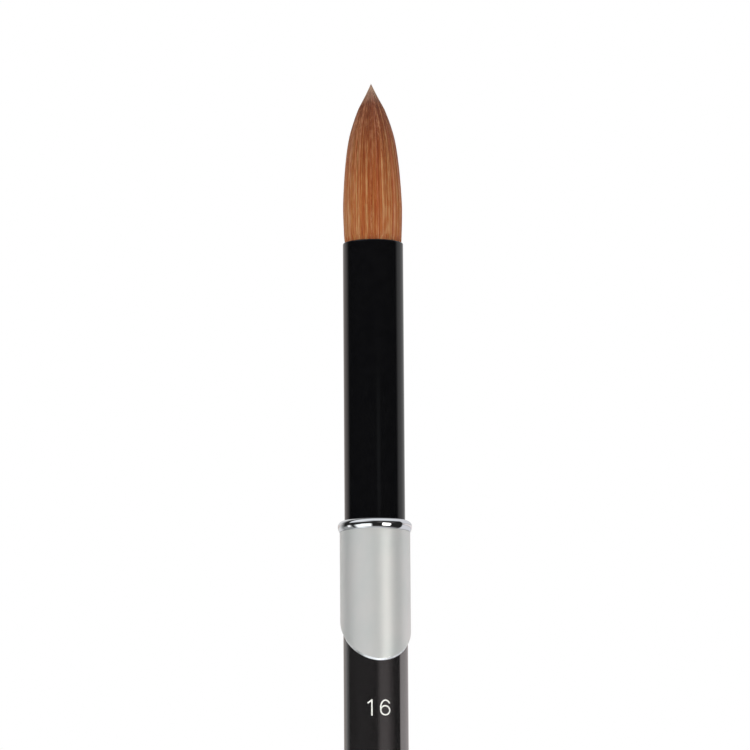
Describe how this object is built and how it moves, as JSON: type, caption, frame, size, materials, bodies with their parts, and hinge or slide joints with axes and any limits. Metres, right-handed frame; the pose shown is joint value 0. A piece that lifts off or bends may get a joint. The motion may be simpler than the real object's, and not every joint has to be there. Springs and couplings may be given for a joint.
{
  "type": "acrylic nail brush",
  "caption": "Slim round nail brush: soft pointed hair tuft in a straight black barrel that pulls out of a handle with a bright bead and a slant-cut satin sleeve.",
  "frame": {"origin": "centre of the flat butt face of the handle", "axes": "+Z along the brush from the butt to the hair's tip, -Y towards the lowest point of the sleeve's slanted cut"},
  "size_m": [0.0096, 0.0096, 0.1805],
  "materials": {
    "hair": "soft natural hair, orange-brown",
    "thread": "waxed thread",
    "adhesive": "hard amber glue",
    "barrel": "gloss black",
    "plug": "turned",
    "rubber": "matt black",
    "chrome": "mirror",
    "satin": "fine satin",
    "liner": "moulded",
    "shell": "semi-gloss charcoal"
  },
  "bodies": {
    "handle": {"collar_bead": "chrome", "slant_sleeve": "satin", "socket_liner": "liner", "handle_shell": "shell", "end_cap": "satin"},
    "head": {"hair_tuft": "hair", "root_binding": "thread", "root_adhesive": "adhesive", "ferrule_barrel": "barrel", "barrel_plug": "plug", "o_ring_upper": "rubber", "o_ring_lower": "rubber"}
  },
  "joints": [
    {"name": "head_pull", "type": "slide", "parent": "handle", "child": "head", "axis": [0, 0, 1], "range_m": [0, 0.026]}
  ]
}
